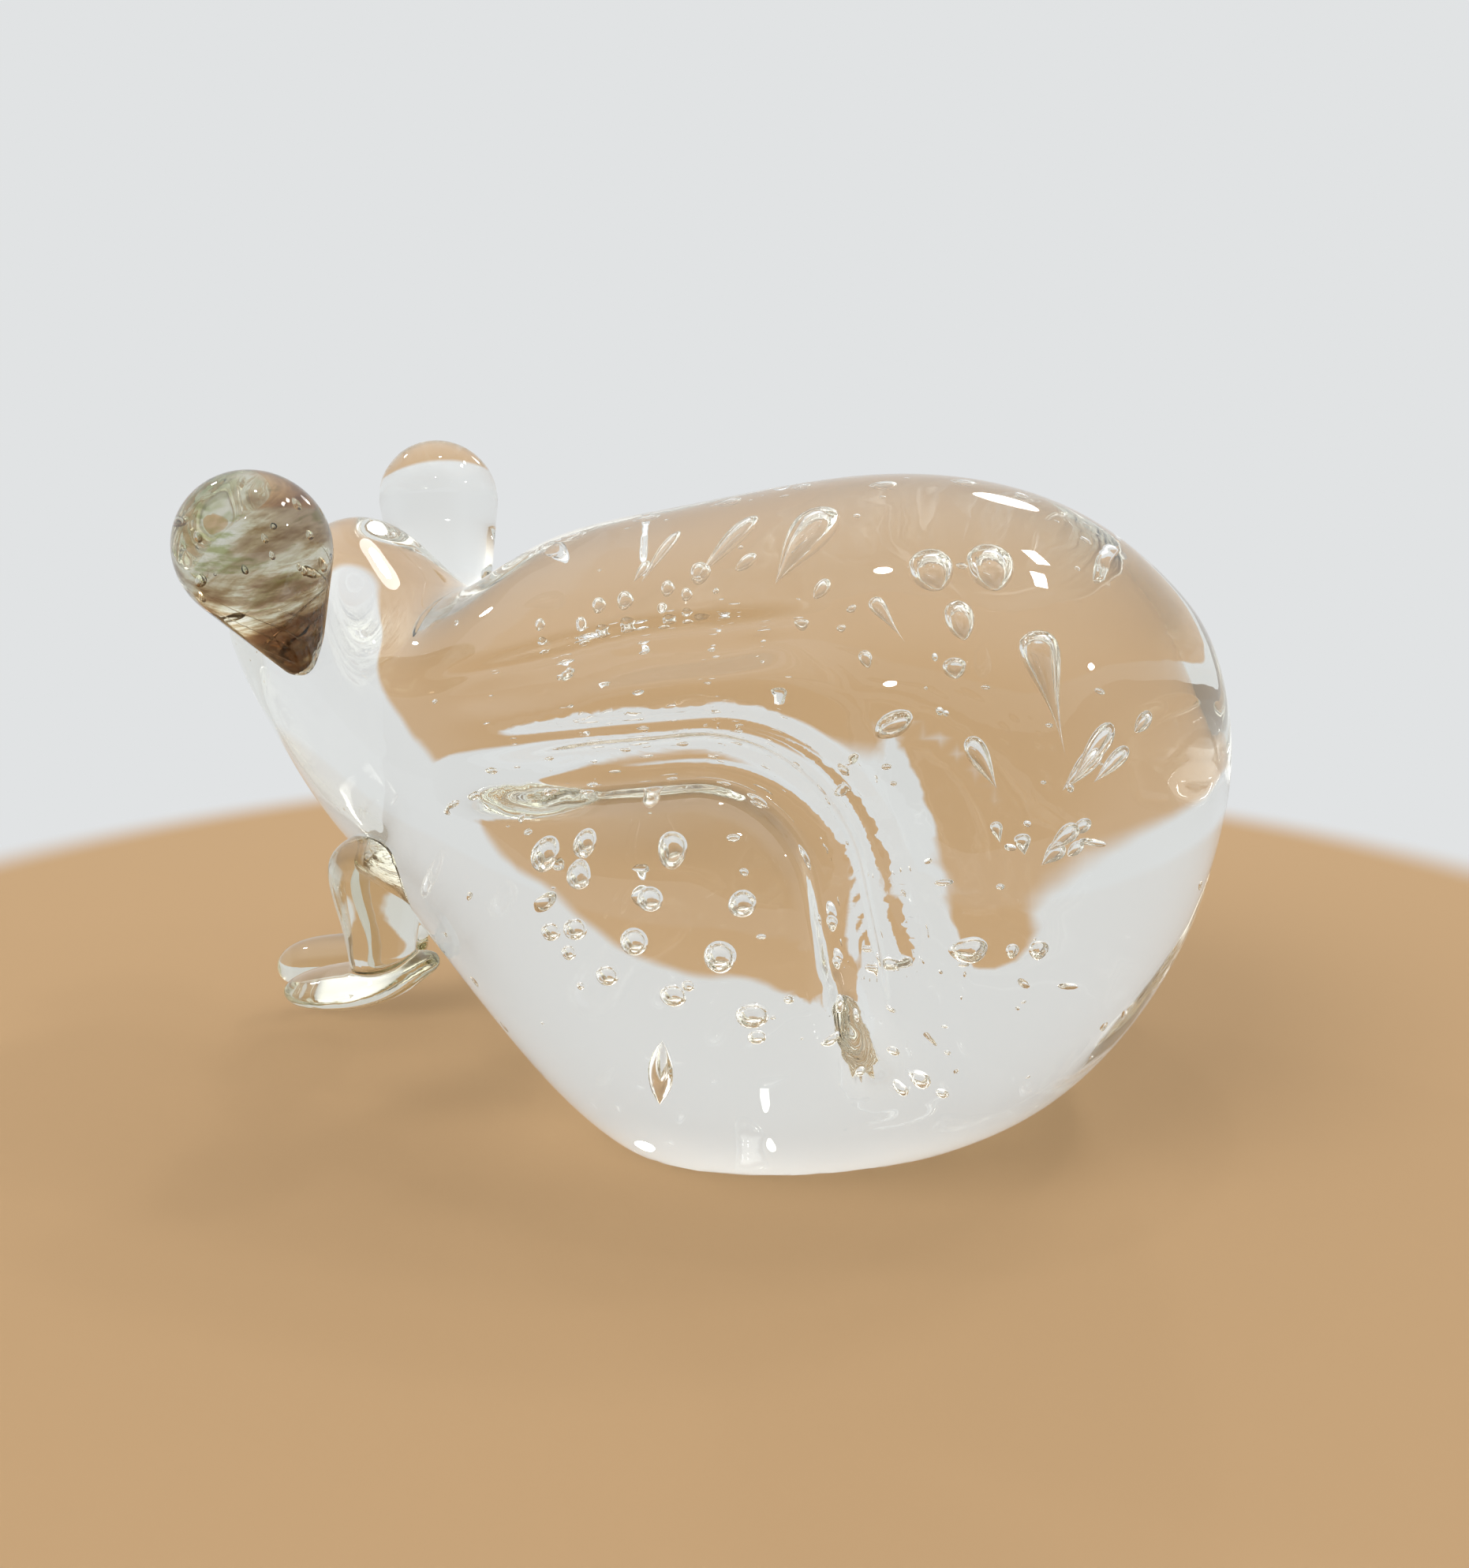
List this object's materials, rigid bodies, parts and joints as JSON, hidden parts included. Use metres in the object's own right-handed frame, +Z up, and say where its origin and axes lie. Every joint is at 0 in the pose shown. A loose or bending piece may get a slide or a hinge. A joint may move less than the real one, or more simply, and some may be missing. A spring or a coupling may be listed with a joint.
{
  "type": "frog paperweight",
  "caption": "Solid clear glass frog paperweight with a ball-like rump, raised bead eyes, short applied forelegs, creased haunches, trapped air bubbles and a ground flat foot.",
  "frame": {"origin": "on the ground foot's plane, under the middle of the frog's bounding box", "axes": "+Z up, -Y the way the frog looks, +X the frog's left side"},
  "size_m": [0.0784, 0.1156, 0.0738],
  "materials": {
    "body_glass": "fire-polished clear glass, with the foot ground flat and polished",
    "gather_glass": "clear glass with moulded pits that hold air",
    "eye_glass": "fire-polished clear glass with seeds and striae",
    "leg_glass": "fire-polished clear glass"
  },
  "bodies": {
    "root": {"body_casing": "body_glass", "inner_gather": "gather_glass", "left_eye": "eye_glass", "right_eye": "eye_glass", "left_foreleg": "leg_glass", "right_foreleg": "leg_glass"}
  },
  "joints": []
}
